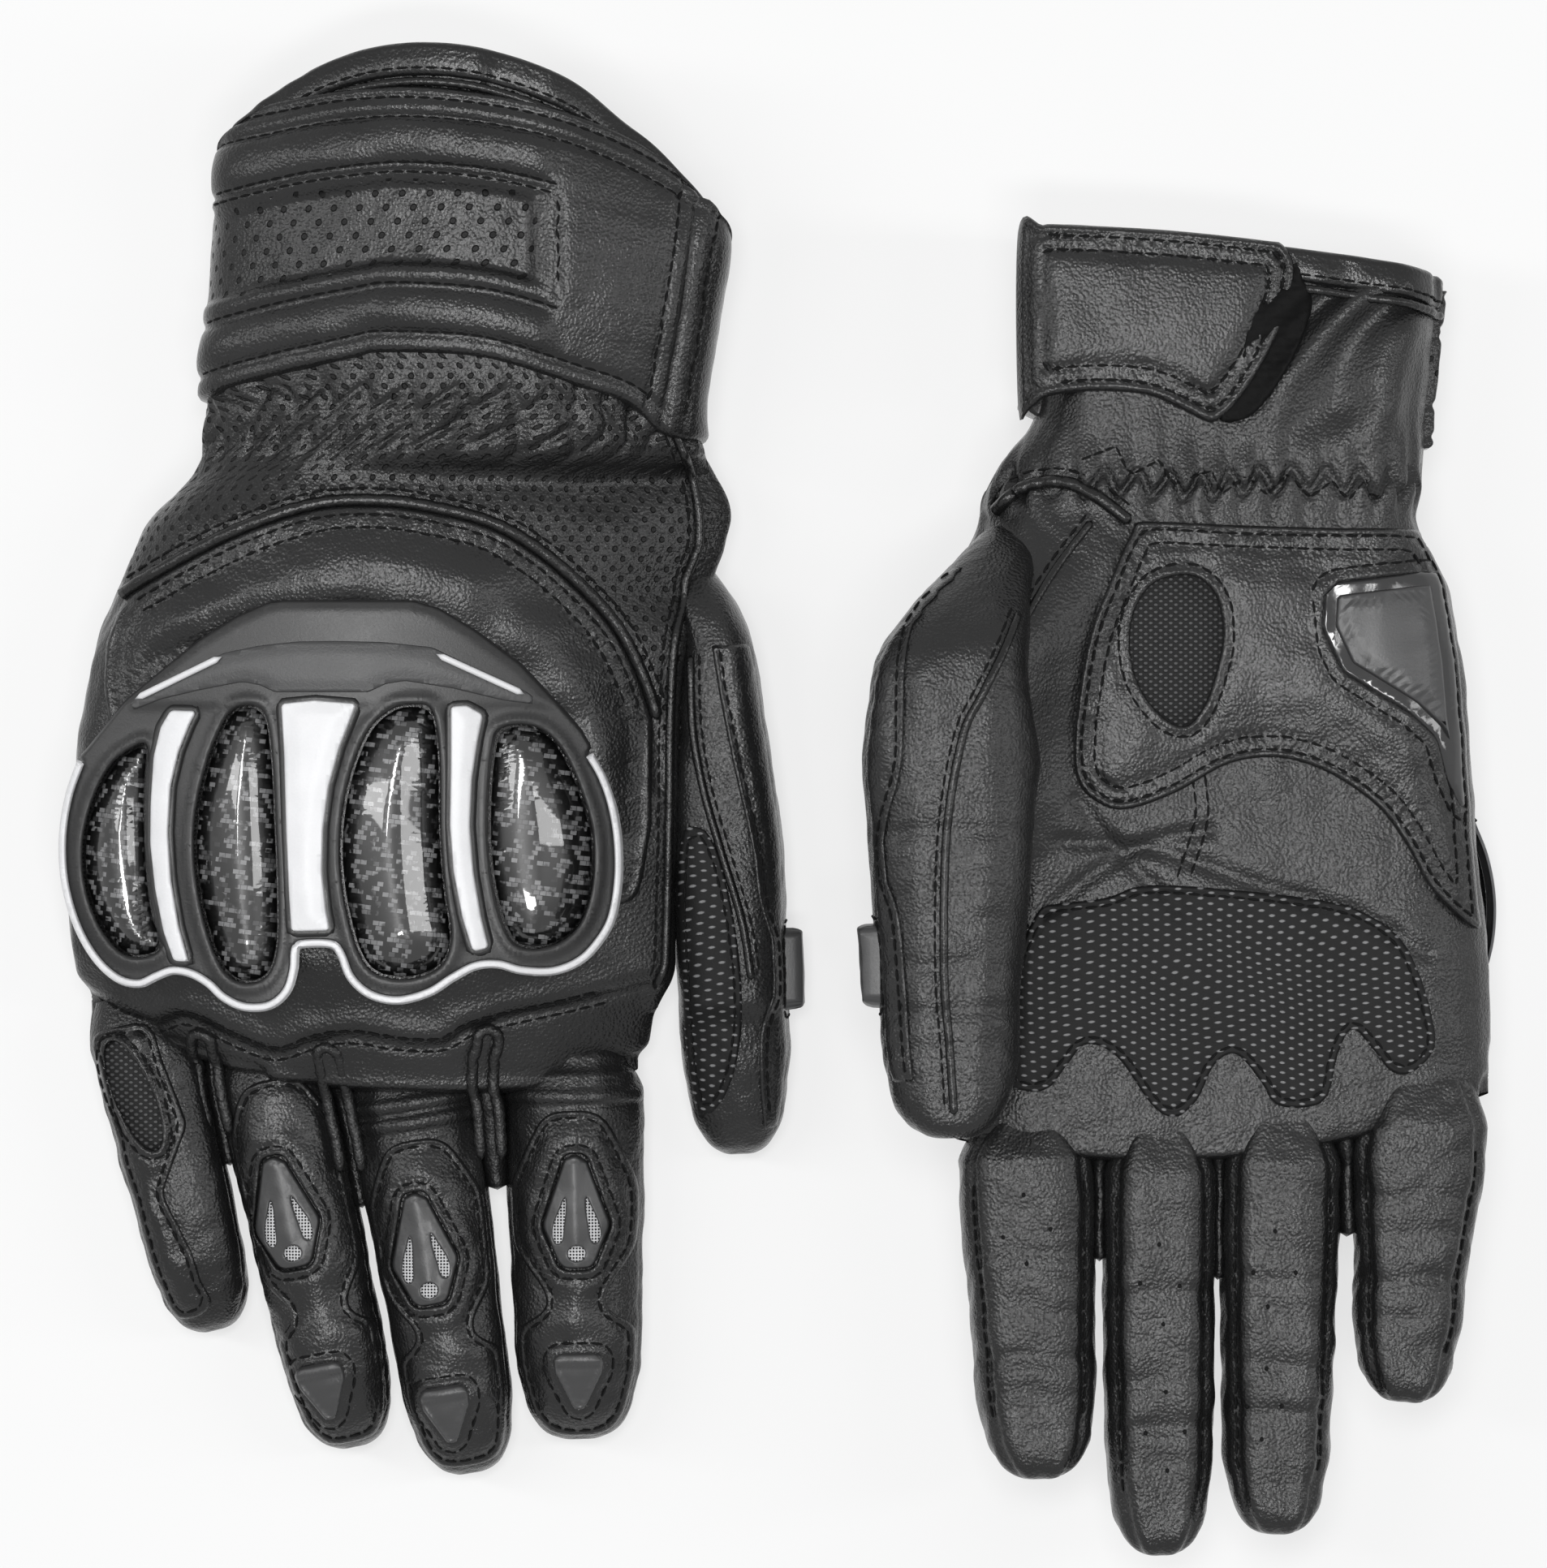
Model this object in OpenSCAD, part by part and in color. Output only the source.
/* [Glove size] */
// Wall of the leather with its lining
wall = 2; // [1.4:0.1:2.6]
// Thickness of the palm overlays and of the wrist strap
overlay_t = 2.4; // [1.8:0.1:3]
// Height of the hand over the palm overlays
hand_h = 38; // [36:1:42]
// Height of the fingers
finger_h = 22; // [20:1:23]
// Height of the cuff
cuff_h = 43.5; // [40:0.5:48]
// Length of the cuff from wrist crease to the middle of its rim
cuff_len = 71.5; // [66:0.5:78]
// Depth of the folded edge binding on the cuff
binding_w = 4; // [3:0.5:5]

/* [Knuckle guard] */
// Radius of the back of the hand across the knuckles
back_r = 131; // [120:1:150]
// Thickness of the guard frame
frame_t = 3.6; // [2.8:0.2:4.4]
// Height that the domes stand over the guard frame
dome_rise = 3.6; // [2.6:0.2:4.4]
// Height that the ribs and edge trim stand over the guard frame
trim_rise = 1.4; // [0.8:0.1:2]
// Width of the raised edge trim
trim_w = 1.8; // [1.2:0.1:2.4]

/* [Fingers] */
// Thickness of the vent plates on the fingers
vent_t = 1.6; // [1.2:0.1:2.2]
// Width of a finger vent plate
vent_w = 12.5; // [10:0.5:14]
// Length of a finger vent plate
vent_len = 23; // [20:0.5:26]
// Width of a fingertip slider
slider_w = 12.5; // [10:0.5:14]
// Thickness of the fingertip sliders
slider_t = 3; // [2.2:0.2:3.6]

/* [Clearances] */
// Gap between sewn pieces that lie on each other
seat_gap = 0.3; // [0.2:0.05:0.5]
// Gap between pieces that bend at a knuckle
joint_gap = 0.4; // [0.3:0.1:0.8]

/* [Hidden] */
DOWN = 0;   // the glove that lies palm down
UP = 1;     // the glove that lies palm up
POSE = ["down", "up"];
SIDES = 32;          // points round a hand or cuff section
FINGER_SIDES = 16;   // points round a finger section
skin_z = overlay_t + seat_gap;      // underside of the hand leather
guard_r = back_r + seat_gap;        // inside of the guard frame
frame_r = guard_r + frame_t;        // outside of the guard frame
WRIST = [[-67.9, 72.8], [91.1, 60.4]];   // wrist crease of each glove
lift = max(hand_h + frame_t + dome_rise + 2 * seat_gap, cuff_h + overlay_t);   // height of the upturned glove

// Places of each glove as it lies: the hand's and guard's middle line, and the strap's fold
HAND_MID = [-13.2, 3.5];
GUARD_MID = [-18, 4.5];
FOLD = [[59, cuff_len - 48.5], [43.6, cuff_len - 40.5]];
RIM_LEAN = [0, 0.13];
RIM_TOP = [cuff_len, cuff_len - 27];
RIM_DROP = [33.6, 2];
PALM_CUT = [12, 0];

// Hand sections: distance along the glove, little finger edge, thumb edge, height
HAND = [
    [[-9, -46, 50, 35], [-20, -57, 56, hand_h], [-34, -63, 54, hand_h], [-42, -66.5, 44.5, hand_h],
     [-62, -70.6, 45, hand_h], [-86, -72.8, 45.2, hand_h], [-106, -71.4, 43.5, hand_h - 2],
     [-120, -68.5, 42.5, finger_h + 4]],
    [[-9, -34, 41.5, 35], [-20, -40.5, 56, hand_h], [-34, -43, 59, hand_h], [-44, -43.7, 56, hand_h],
     [-60, -44.7, 55.5, hand_h], [-88, -47.8, 56, hand_h], [-106, -48.4, 57, hand_h - 2],
     [-120, -47.5, 57, finger_h + 4]]];
// Cuff sides at the rim and at the wrist
CUFF = [[[-41, 57], [-45.5, 49.5]], [[-38.5, 40.5], [-33.5, 41]]];
crown_cuff = 95;

// Fingers, little to index: place across the hand, lean, root width, tip width, both lengths
FINGERS = [
    [[-45.6, 13.5, 21.8, 19.8, 39, 24], [-19.7, 12.3, 23.2, 21.2, 53, 24.5],
     [7.7, 9, 25.8, 22.4, 53, 25], [40.4, 1, 28, 25.6, 49, 24]],
    [[-37.6, 3.8, 27, 22, 33, 24], [-10.3, 1, 23.4, 21.6, 51, 24],
     [13.5, 0, 22.4, 21.6, 52, 25], [39.6, -2.5, 26.6, 24, 41, 24]]];
FINGER_NAMES = ["little", "ring", "middle", "index"];
finger_crown = 15;

thumb_h = 24;
// Thumb: root place and height, lean, widths at root, ball and knuckle, both lengths, place of the ball
THUMB = [[55.6, -40.6, 0.5, 2.6, 14, 23, 21.8, 76, 28, 0.55],
         [58.2, -33, skin_z + 1 - thumb_h, 0, 29, 34.6, 27, 69, 24, 0.3]];
thumb_crown = 36;

function knuckle_y(g, x) = -131 + 12 * pow((x - HAND_MID[g] - 13) / 57, 2);
function sgn_pow(v, p) = sign(v) * pow(abs(v), p);
function limit(v, lo, hi) = min(max(v, lo), hi);
function roof(x, mid, r) = r - sqrt(r * r - pow(min(abs(x - mid), r), 2));

// One closed section as [x, z] points: a soft oval, flat where it lies, with an arched roof
function section(xl, xr, zb, zt, crown, mid, n, swell = 0.62, centre = 0.45) =
    [for (i = [0 : n - 1]) let (
        a = 360 * i / n,
        x = (xl + xr) / 2 + (xr - xl) / 2 * sgn_pow(cos(a), 0.8),
        z = zb + (zt - zb) * (centre + swell * sgn_pow(sin(a), 0.8)))
        [x, limit(z, zb, zt - roof(x, mid, crown))]];

// A wall between outer and inner rings that run along -Y; a capped one is closed at its far end
module shell_loft(outer, inner, capped = false) {
    n = len(outer[0]);
    m = len(outer);
    k = len(inner);
    base = n * m;
    points = concat([for (r = outer) each r], [for (r = inner) each r]);
    outer_faces = [for (j = [0 : m - 2], i = [0 : n - 1]) let (
        a = j * n + i, b = j * n + (i + 1) % n) each [[a, a + n, b + n], [a, b + n, b]]];
    inner_faces = [for (j = [0 : k - 2], i = [0 : n - 1]) let (
        a = base + j * n + i, b = base + j * n + (i + 1) % n) each [[a, b + n, a + n], [a, b, b + n]]];
    near_rim = [for (i = [0 : n - 1]) let (
        a = i, b = (i + 1) % n) each [[a, b, base + b], [a, base + b, base + a]]];
    far = (m - 1) * n;
    far_in = base + (k - 1) * n;
    far_rim = capped
        ? concat([for (i = [1 : n - 2]) [far, far + i + 1, far + i]],
                 [for (i = [1 : n - 2]) [far_in, far_in + i, far_in + i + 1]])
        : [for (i = [0 : n - 1]) let (
            a = i, b = (i + 1) % n) each [[far + a, far_in + b, far + b], [far + a, far_in + a, far_in + b]]];
    polyhedron(points, concat(outer_faces, inner_faces, near_rim, far_rim), convexity = 6);
}

// A closed outline from corners [x, y, radius]
function unit2(v) = v / norm(v);
function rounded(corners, steps = 4) = [for (i = [0 : len(corners) - 1]) let (
    n = len(corners),
    c = [corners[i].x, corners[i].y],
    u = unit2([corners[(i + n - 1) % n].x, corners[(i + n - 1) % n].y] - c),
    v = unit2([corners[(i + 1) % n].x, corners[(i + 1) % n].y] - c),
    half = acos(limit(u * v, -1, 1)) / 2,
    r = corners[i].z,
    mid = c + unit2(u + v) * r / sin(half),
    from = c + u * r / tan(half) - mid,
    turn = cross(from, c + v * r / tan(half) - mid) > 0 ? 1 : -1)
    each (r == 0 ? [c] : [for (s = [0 : steps]) let (a = turn * (180 - 2 * half) * s / steps)
        mid + [from.x * cos(a) - from.y * sin(a), from.x * sin(a) + from.y * cos(a)]])];
function shifted(corners, dx, dy) = [for (c = corners) [c.x + dx, c.y + dy, c.z]];

// Puts a glove where it lies
module place(g) {
    if (g == DOWN) translate([WRIST[DOWN].x, WRIST[DOWN].y, 0]) children();
    else translate([WRIST[UP].x, WRIST[UP].y, lift]) rotate([0, 180, 0]) children();
}

// Keeps only what lies between two radii over the arched back of the hand
guard_reach = cuff_len + 128.5;
module over_back(g, r_in, r_out) {
    intersection() {
        translate([0, 0, 10]) linear_extrude(60) children();
        translate([GUARD_MID[g], 20, hand_h - back_r]) rotate([90, 0, 0]) difference() {
            cylinder(h = guard_reach, r = r_out, $fn = 200);
            translate([0, 0, -1]) cylinder(h = guard_reach + 2, r = r_in, $fn = 200);
        }
    }
}

// ---- Hand and cuff
function hand_ring(g, row, s, last = false) =
    [for (p = section(row[1] + s, row[2] - s, skin_z + s, row[3] - s, back_r - s, GUARD_MID[g], SIDES))
        [p.x, last ? knuckle_y(g, p.x) : row[0], p.y]];
function hand_rings(g, s) = concat([for (row = HAND[g]) if (row[0] > -120) hand_ring(g, row, s)],
    [hand_ring(g, HAND[g][len(HAND[g]) - 1], s, true)]);
module hand_shell(g) {
    color([0.13, 0.13, 0.14]) shell_loft(hand_rings(g, 0), hand_rings(g, wall));
}

wrist_y = -9 + seat_gap;
function rim_y(g, x, z) = RIM_TOP[g] + RIM_LEAN[g] * x - RIM_DROP[g] * pow(x / 55, 2)
    - PALM_CUT[g] * limit(1 - z / (cuff_h * 0.6), 0, 1);
function cuff_ring(g, v, s) = let (
    xl = CUFF[g][0][0] + (CUFF[g][1][0] - CUFF[g][0][0]) * v,
    xr = CUFF[g][0][1] + (CUFF[g][1][1] - CUFF[g][0][1]) * v,
    zt = cuff_h + (hand_h - cuff_h) * pow(limit(v, 0, 1), 3))
    [for (p = section(xl + s, xr - s, skin_z + s, zt - s, crown_cuff - s, (xl + xr) / 2, SIDES))
        [p.x, rim_y(g, p.x, p.y) * (1 - v) + wrist_y * v, p.y]];
CUFF_STEPS = [0, 0.12, 0.48, 0.84, 1];
module cuff_shell(g) {
    color([0.12, 0.12, 0.13]) shell_loft([for (v = CUFF_STEPS) cuff_ring(g, v, 0)],
        [for (v = CUFF_STEPS) cuff_ring(g, v, wall)]);
}
// The binding is pinched at its fold and stands out a little over the leather
fold_in = 0.6;
fold_out = 0.2;
module cuff_binding(g) {
    v0 = -binding_w / (RIM_TOP[g] - wrist_y);
    v1 = -seat_gap / (RIM_TOP[g] - wrist_y);
    color([0.08, 0.08, 0.08]) shell_loft([cuff_ring(g, v0, fold_in), cuff_ring(g, v1, -fold_out)],
        [cuff_ring(g, v0, wall - fold_in), cuff_ring(g, v1, wall + 2 * fold_out)]);
}

// ---- Wrist strap: a band sewn over the back, and the flap that closes under the palm
strap_steps = [0.12, 0.48, 0.84];
strap_from = SIDES - 1;
strap_span = SIDES / 2 + 2;
function arc_of(ring) = [for (i = [0 : strap_span]) ring[(strap_from + i) % SIDES]];
module strap_band(g) {
    outer = [for (v = strap_steps) arc_of(cuff_ring(g, v, -overlay_t))];
    inner = [for (v = strap_steps) arc_of(cuff_ring(g, v, -seat_gap))];
    n = strap_span + 1;
    m = len(strap_steps);
    k = n * m;
    walls = [for (j = [0 : m - 2], i = [0 : n - 2]) let (a = j * n + i, b = a + 1)
        each [[a, a + n, b + n], [a, b + n, b], [k + a, k + b + n, k + a + n], [k + a, k + b, k + b + n]]];
    ends = [for (i = [0 : n - 2]) let (a = i, b = i + 1, c = a + n * (m - 1), d = b + n * (m - 1))
        each [[a, b, k + b], [a, k + b, k + a], [c, k + d, d], [c, k + c, k + d]]];
    sides = [for (j = [0 : m - 2]) let (a = j * n, b = a + n, c = a + n - 1, d = b + n - 1)
        each [[a, k + a, k + b], [a, k + b, b], [c, k + d, k + c], [c, d, k + d]]];
    color([0.15, 0.15, 0.16])
        polyhedron([for (r = concat(outer, inner)) each r], concat(walls, ends, sides), convexity = 4);
}
FLAP = [[-3, 17.5, 3], [-51, 14.5, 4], [-51.5, 8, 6], [-46, -10, 10], [-37, -21, 4],
        [-24, -15, 12], [-10, -15, 10], [-3, -18, 3]];
module strap_flap(g) {
    color([0.17, 0.17, 0.18]) linear_extrude(overlay_t)
        polygon(rounded(shifted(FLAP, FOLD[g].x, FOLD[g].y)));
}

// ---- Knuckle guard: a moulded frame with four windows, domes, ribs, edge trim and a shield
FRAME = [[-50, -66, 2], [-41, -55, 8], [-26, -42.5, 10], [-11.5, -35, 6], [9, -34.8, 6], [19, -36.2, 8],
         [36, -47, 12], [46.5, -58, 10], [50, -66, 8], [55, -85, 24], [50.5, -103, 12], [40, -110, 9],
         [30.5, -105, 7], [20, -113, 8], [8, -114.5, 8], [1.5, -108, 3], [1.4, -101.6, 2],
         [-9.6, -101.6, 2], [-8.8, -109, 4], [-16, -117.5, 7], [-31, -106, 6], [-41, -112, 9],
         [-50, -103, 12], [-55, -85, 24]];
SHIELD = [[-40.8, -58, 1], [-22, -45, 3], [-12, -43.4, 6], [9, -43.6, 6], [20, -46, 4], [37, -57, 1],
          [24, -54.6, 6], [15, -52, 5], [3.5, -54.9, 3], [-12, -54.9, 3], [-20, -52.4, 5], [-30, -56, 6]];
// Domes: place across the guard, place along the glove, width, length
DOMES = [[-43.2, -83, 12.4, 34], [-20.4, -82, 17.4, 48], [12, -82, 17.6, 47], [39, -82.5, 16.4, 40]];
RIBS = [
    [[-33.9, -60, 1], [-36.4, -76, 20], [-35.8, -88, 30], [-32, -106, 1], [-28.3, -106, 1],
     [-32.2, -84, 30], [-31.2, -72, 20], [-26.7, -57.2, 1]],
    [[-10.6, -56.4, 1], [-8.6, -100.2, 1], [-0.6, -100.2, 1], [-2.8, -86, 30], [-2, -72, 16],
     [4.5, -56.4, 1]],
    [[22, -57, 1], [21.6, -84, 60], [26, -104.5, 1], [30, -103.5, 1], [26.2, -84, 60], [28.8, -57.6, 1]]];
SLASHES = [[[-39.5, -55.6], [-22, -47.2]], [[19.6, -47.2], [36.4, -54.6]]];

// The pad runs on under the frame's edge line, where the frame is cut out of it
BACK_PAD = [[-53, -64, 3], [-52, -44, 16], [-33, -24, 20], [-12, -16.5, 24], [8, -16.5, 24],
            [27, -24, 20], [47, -42, 20], [57, -68, 20], [60, -92, 3], [54, -95, 2], [44, -80, 6],
            [-44, -80, 6]];

module guard_outline(g) {
    translate([GUARD_MID[g], 0]) polygon(rounded(FRAME));
}
// Each dome stands square to the arched back
module at_dome(g, d) {
    translate([GUARD_MID[g], 0, hand_h - back_r]) rotate([0, asin(d[0] / frame_r), 0])
        translate([0, d[1], guard_r]) children();
}
module slot_outline(w, run) {
    for (e = [-1, 1]) translate([0, e * (run - w) / 2]) circle(w / 2, $fn = 32);
    square([w, run - w], center = true);
}
module back_pad(g) {
    color([0.14, 0.14, 0.15]) over_back(g, guard_r, guard_r + 2.6) difference() {
        translate([GUARD_MID[g], 0]) polygon(rounded(BACK_PAD));
        translate([GUARD_MID[g], 0]) offset(delta = seat_gap) polygon(rounded(FRAME));
    }
}
module knuckle_frame(g) {
    color([0.11, 0.11, 0.12]) difference() {
        over_back(g, guard_r, frame_r) guard_outline(g);
        for (d = DOMES) at_dome(g, d) translate([0, 0, -frame_t]) linear_extrude(3 * frame_t)
            slot_outline(d[2] + 2 * seat_gap, d[3] + 2 * seat_gap);
    }
}
module knuckle_domes(g) {
    color([0.05, 0.05, 0.06]) for (d = DOMES) {
        half = d[2] / 2;
        top = frame_t + dome_rise;
        r = (half * half + top * top) / (2 * top);
        run = d[3] - d[2];
        at_dome(g, d) translate([0, 0, seat_gap]) intersection() {
            translate([-half, -d[3], 0]) cube([2 * half, 2 * d[3], top]);
            union() {
                translate([0, run / 2, top - r]) rotate([90, 0, 0]) cylinder(h = run, r = r, $fn = 64);
                for (e = [-1, 1]) translate([0, e * run / 2, top - r]) sphere(r, $fn = 64);
            }
        }
    }
}
// The edge trim runs round the finger side only, up to this line across the guard
trim_ends = -65.5;
module knuckle_trim(g) {
    over = frame_r + seat_gap;
    color("white") {
        over_back(g, over, over + trim_rise) translate([GUARD_MID[g], 0]) {
            for (rib = RIBS) polygon(rounded(rib, 3));
            for (s = SLASHES) slash(s);
        }
        over_back(g, over, over + trim_rise) difference() {
            guard_outline(g);
            translate([GUARD_MID[g], 0]) offset(delta = -trim_w) polygon(rounded(FRAME));
            translate([GUARD_MID[g] - 60, trim_ends]) square([120, 60]);
        }
    }
}
module slash(s) {
    hull() for (p = s) translate(p) circle(0.7, $fn = 16);
}
module knuckle_shield(g) {
    over = frame_r + seat_gap;
    color([0.3, 0.3, 0.31]) over_back(g, over, over + trim_rise * 0.7) difference() {
        translate([GUARD_MID[g], 0]) polygon(rounded(SHIELD, 3));
        translate([GUARD_MID[g], 0]) for (s = SLASHES)
            hull() for (p = s) translate(p) circle(0.7 + seat_gap, $fn = 16);
    }
}

// ---- Palm overlays
HEEL = [[22, -8, 4], [-38, -10, 4], [-44, -17, 10], [-47, -40, 30], [-50, -72, 20], [-52, -91, 2],
        [-43, -86, 8], [-34, -68, 20], [-18, -56, 16], [-4, -52.5, 16], [11, -62, 16], [26, -66.5, 6],
        [31.5, -56, 8], [27.5, -30, 20]];
PALM_SLIDER = [[-17, -20.5, 3], [-40, -17.2, 4], [-45.5, -26, 8], [-47.4, -67, 4], [-43, -58, 8],
               [-38, -48, 8], [-21, -38, 4], [-16.6, -29, 5]];
GRIP = [[38, -82.6, 2], [24, -80, 8], [16, -77.6, 6], [-18, -81, 10], [-33, -88, 8], [-39.5, -103, 10],
        [-40.5, -110.6, 3], [-31, -116, 2], [-23, -104, 3], [-17.5, -118.5, 3], [-7, -119.5, 3],
        [2, -110, 3], [12, -123, 6], [29.5, -109, 3], [35.5, -119, 3], [43, -112, 4], [42, -100, 6]];
module palm_place(g) {
    translate([HAND_MID[g], 0]) children();
}
module heel_pad(g) {
    color([0.13, 0.13, 0.14]) linear_extrude(overlay_t) difference() {
        palm_place(g) polygon(rounded(HEEL));
        palm_place(g) offset(delta = seat_gap) polygon(rounded(PALM_SLIDER));
    }
}
module palm_slider(g) {
    color([0.2, 0.2, 0.21]) linear_extrude(overlay_t) palm_place(g) polygon(rounded(PALM_SLIDER));
}
module grip_patch(g) {
    color([0.1, 0.1, 0.1]) translate([0, 0, overlay_t - 1]) linear_extrude(1)
        palm_place(g) polygon(rounded(GRIP));
}

// ---- Fingers: each lies along -Y from its root, in a frame of its own
finger_z = 0.4;
function finger_root(g, f) = let (x = HAND_MID[g] + FINGERS[g][f][0]) [x, knuckle_y(g, x)];
module place_finger(g, f) {
    translate([finger_root(g, f).x, finger_root(g, f).y, finger_z])
        rotate([0, 0, FINGERS[g][f][1]]) children();
}
function finger_section(w, h, s) =
    section(-w / 2 + s, w / 2 - s, s, h - s, finger_crown - s, 0, FINGER_SIDES, 0.54, 0.5);
function finger_ring(w, y, h, s) = [for (p = finger_section(w, h, s)) [p.x, y, p.y]];
// The first ring follows the end of the hand
function root_y(g, f, x) = let (
    r = finger_root(g, f), b = FINGERS[g][f][1],
    y0 = (knuckle_y(g, r.x + x * cos(b)) - joint_gap - r.y - x * sin(b)) / cos(b))
    (knuckle_y(g, r.x + x * cos(b) - y0 * sin(b)) - joint_gap - r.y - x * sin(b)) / cos(b);
function root_ring(g, f, w, s) = [for (p = finger_section(w, finger_h, s)) [p.x, root_y(g, f, p.x), p.y]];
full_until = 0.35;      // a finger keeps its root width this far along its base
function base_rings(g, f, w, w2, run, full, s) =
    [root_ring(g, f, w, s), finger_ring(w, full, finger_h, s), finger_ring(w2, -run, finger_h, s)];
module finger_base(g, f) {
    w = FINGERS[g][f][2];
    w2 = FINGERS[g][f][3];
    run = FINGERS[g][f][4];
    full = -run * full_until;
    color([0.13, 0.13, 0.14]) place_finger(g, f)
        shell_loft(base_rings(g, f, w, w2, run, full, 0), base_rings(g, f, w, w2, run, full, wall));
}
TIP = [[0, 1, 1, 1], [0.4, 0.97, 0.94, 1], [0.75, 0.82, 0.78, 1.1], [0.94, 0.56, 0.6, 1.2], [1, 0.3, 0.42, 1]];
function tip_rings(w, h, run, s) = [for (t = TIP)
    finger_ring(w * t[1], -run * t[0] + (t[0] == 1 ? s : 0), h * t[2], s * t[3])];
module finger_tip(g, f) {
    w = FINGERS[g][f][3];
    run = FINGERS[g][f][5];
    color([0.13, 0.13, 0.14]) place_finger(g, f) translate([0, -FINGERS[g][f][4] - joint_gap, 0])
        shell_loft(tip_rings(w, finger_h, run, 0), tip_rings(w, finger_h, run, wall), true);
}

// ---- Vents and sliders on the ring, middle and index fingers
vent_at = [0, 27.3, 30.7, 25.9];    // from the root to the middle of the vent
vent_off = [0, -2.6, -1.6, 0.4];      // across the finger
vent_bore = 0.95;                   // half the width of a slot
vent_eye = 1.5;                     // radius of the round hole
slot_place = 0.22;
eye_place = 0.34;
vent_widest = 0.06;
vent_foot = 0.2;
module vent_hole(x, y, r, run, turn) {
    translate([x, y]) rotate(turn) union() {
        translate([0, run / 2]) circle(r, $fn = 24);
        square([2 * r, run], center = true);
        translate([0, -run / 2]) circle(r, $fn = 24);
    }
}
module finger_vent(g, f) {
    wide = -vent_len * vent_widest;
    foot = vent_w * vent_foot;
    kite = [[0, vent_len / 2, 2], [-vent_w / 2, wide, 3], [-foot, -vent_len / 2, 2],
            [foot, -vent_len / 2, 2], [vent_w / 2, wide, 3]];
    r_in = finger_crown + seat_gap;
    color([0.25, 0.25, 0.26]) place_finger(g, f) translate([0, -vent_at[f], 0]) intersection() {
        translate([vent_off[f], 0, finger_h / 2]) linear_extrude(finger_h) difference() {
            polygon(rounded(kite));
            for (e = [-1, 1]) vent_hole(e * vent_w * slot_place, -0.5, vent_bore, vent_len * 0.2, e * 5);
            translate([0, -vent_len * eye_place]) circle(vent_eye, $fn = 24);
        }
        translate([0, vent_len, finger_h - finger_crown]) rotate([90, 0, 0]) difference() {
            cylinder(h = 2 * vent_len, r = r_in + vent_t, $fn = 96);
            translate([0, 0, -1]) cylinder(h = 2 * vent_len + 2, r = r_in, $fn = 96);
        }
    }
}
module slider_puck() {
    foot = [[-slider_w / 2, 4.6, 2], [-slider_w / 2 + 1.2, -1, 4], [0, -9.4, 2.6],
            [slider_w / 2 - 1.2, -1, 4], [slider_w / 2, 4.6, 2]];
    linear_extrude(slider_t * 0.55) polygon(rounded(foot));
    translate([0, 0, slider_t * 0.55]) linear_extrude(slider_t * 0.45)
        offset(delta = -1) polygon(rounded(foot));
}
// A slider sits part way along the fingertip, where the roof of the finger has begun to fall
slider_along = 0.42;
slider_height = 0.935;
slider_off = [0, -2.6, -2, 0.3];  // across the finger
slider_slope = atan((TIP[0][2] - TIP[2][2]) * finger_h / (TIP[2][0] * 24.5));
module finger_slider(g, f) {
    run = FINGERS[g][f][5];
    color([0.25, 0.25, 0.26]) place_finger(g, f)
        translate([slider_off[f], -FINGERS[g][f][4] - joint_gap - run * slider_along,
                   finger_h * slider_height + seat_gap])
            rotate([slider_slope, 0, 0]) slider_puck();
}

// ---- Thumb
module place_thumb(g) {
    t = THUMB[g];
    translate([t[0], t[1], t[2]]) rotate([0, 0, t[3]]) children();
}
function thumb_ring(w, y, h, s) =
    [for (p = section(-w / 2 + s, w / 2 - s, s, h - s, thumb_crown - s, 0, FINGER_SIDES, 0.54, 0.5))
        [p.x, y, p.y]];
module thumb_base(g) {
    t = THUMB[g];
    rows = [[0, t[4]], [t[9], t[5]], [1, t[6]]];
    color([0.14, 0.14, 0.15]) place_thumb(g)
        shell_loft([for (r = rows) thumb_ring(r[1], -t[7] * r[0], thumb_h, 0)],
            [for (r = rows) thumb_ring(r[1], -t[7] * r[0], thumb_h, wall)]);
}
module thumb_tip(g) {
    t = THUMB[g];
    color([0.14, 0.14, 0.15]) place_thumb(g) translate([0, -t[7] - joint_gap, 0])
        shell_loft(tip_rings(t[6], thumb_h - 2, t[8], 0), tip_rings(t[6], thumb_h - 2, t[8], wall), true);
}
THUMB_SLIDER = [[-9, -4, 2.5], [-9, 4, 2.5], [7, 3, 2.5], [7, -3, 2.5]];
thumb_slider_at = 9;
module thumb_slider(g) {
    t = THUMB[g];
    // as far out as the side of the thumb at the near end of the slider
    near = thumb_slider_at + THUMB_SLIDER[2].x;
    out = t[6] + (t[5] - t[6]) * near / (t[7] * (1 - t[9]));
    color([0.22, 0.22, 0.23]) place_thumb(g)
        translate([max(out, t[6]) / 2 + seat_gap, thumb_slider_at - t[7], thumb_h / 2])
            rotate([90, 0, 90]) linear_extrude(slider_t * 0.8) polygon(rounded(THUMB_SLIDER));
}

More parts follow.
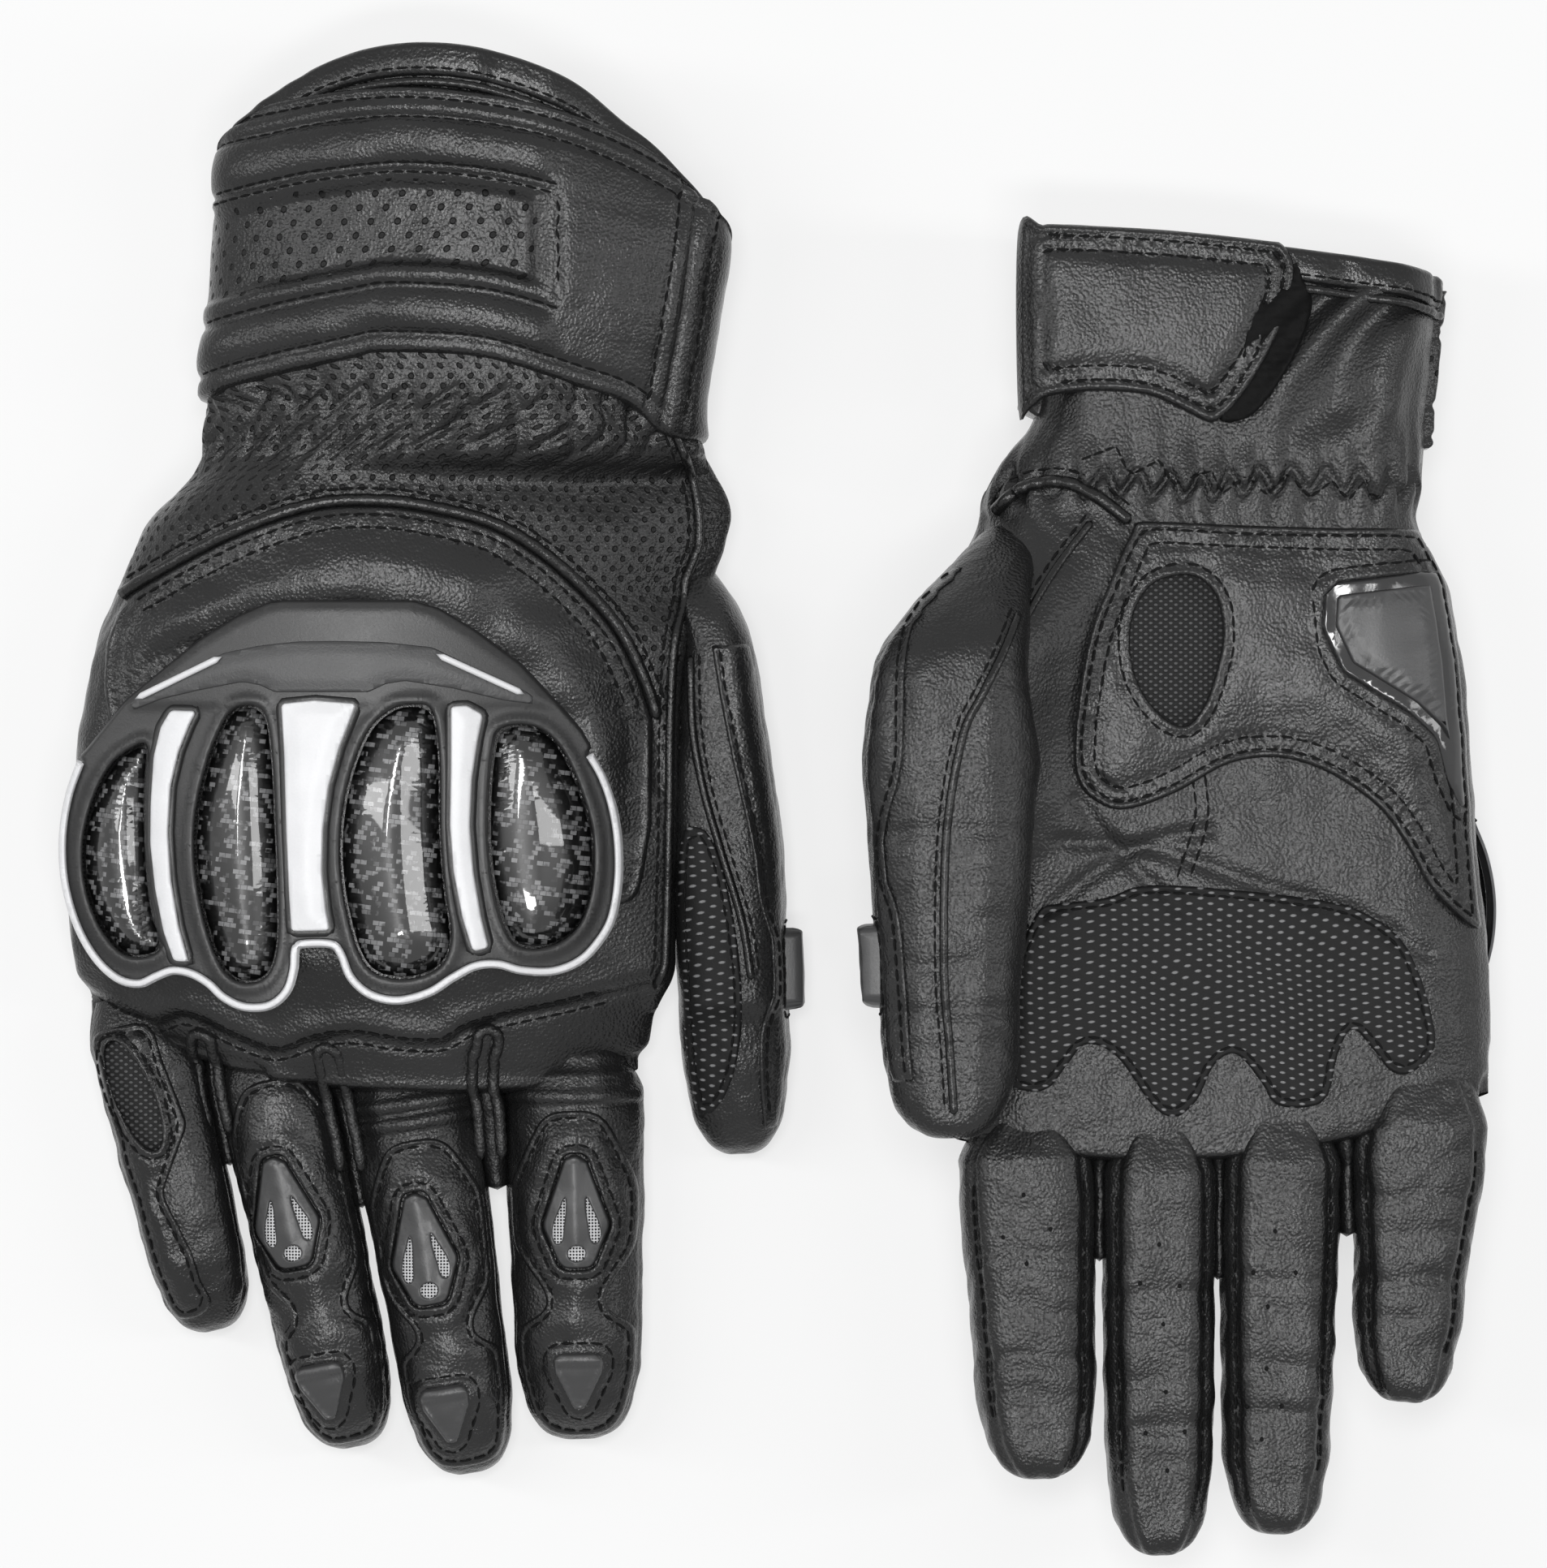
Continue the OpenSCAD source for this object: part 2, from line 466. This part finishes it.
HAND_PARTS = ["hand_shell", "cuff_shell", "cuff_binding", "strap_band", "strap_flap", "back_pad",
              "knuckle_frame", "knuckle_domes", "knuckle_trim", "knuckle_shield", "heel_pad",
              "palm_slider", "grip_patch", "thumb_base", "thumb_tip", "thumb_slider"];
function node_name(g, part) = str(POSE[g], "_", part);
NODES = [for (g = [DOWN, UP]) each concat([for (p = HAND_PARTS) node_name(g, p)],
    [for (f = [0 : 3], p = ["_base", "_tip"]) node_name(g, str(FINGER_NAMES[f], p))],
    [for (f = [1 : 3], p = ["_vent", "_slider"]) node_name(g, str(FINGER_NAMES[f], p))])];
node = "all";
function wanted(g, part) = node == "all" || node == node_name(g, part);

for (g = [DOWN, UP]) {
    if (wanted(g, "hand_shell")) place(g) hand_shell(g);
    if (wanted(g, "cuff_shell")) place(g) cuff_shell(g);
    if (wanted(g, "cuff_binding")) place(g) cuff_binding(g);
    if (wanted(g, "strap_band")) place(g) strap_band(g);
    if (wanted(g, "strap_flap")) place(g) strap_flap(g);
    if (wanted(g, "back_pad")) place(g) back_pad(g);
    if (wanted(g, "knuckle_frame")) place(g) knuckle_frame(g);
    if (wanted(g, "knuckle_domes")) place(g) knuckle_domes(g);
    if (wanted(g, "knuckle_trim")) place(g) knuckle_trim(g);
    if (wanted(g, "knuckle_shield")) place(g) knuckle_shield(g);
    if (wanted(g, "heel_pad")) place(g) heel_pad(g);
    if (wanted(g, "palm_slider")) place(g) palm_slider(g);
    if (wanted(g, "grip_patch")) place(g) grip_patch(g);
    if (wanted(g, "thumb_base")) place(g) thumb_base(g);
    if (wanted(g, "thumb_tip")) place(g) thumb_tip(g);
    if (wanted(g, "thumb_slider")) place(g) thumb_slider(g);
    for (f = [0 : 3]) {
        if (wanted(g, str(FINGER_NAMES[f], "_base"))) place(g) finger_base(g, f);
        if (wanted(g, str(FINGER_NAMES[f], "_tip"))) place(g) finger_tip(g, f);
    }
    for (f = [1 : 3]) {
        if (wanted(g, str(FINGER_NAMES[f], "_vent"))) place(g) finger_vent(g, f);
        if (wanted(g, str(FINGER_NAMES[f], "_slider"))) place(g) finger_slider(g, f);
    }
}
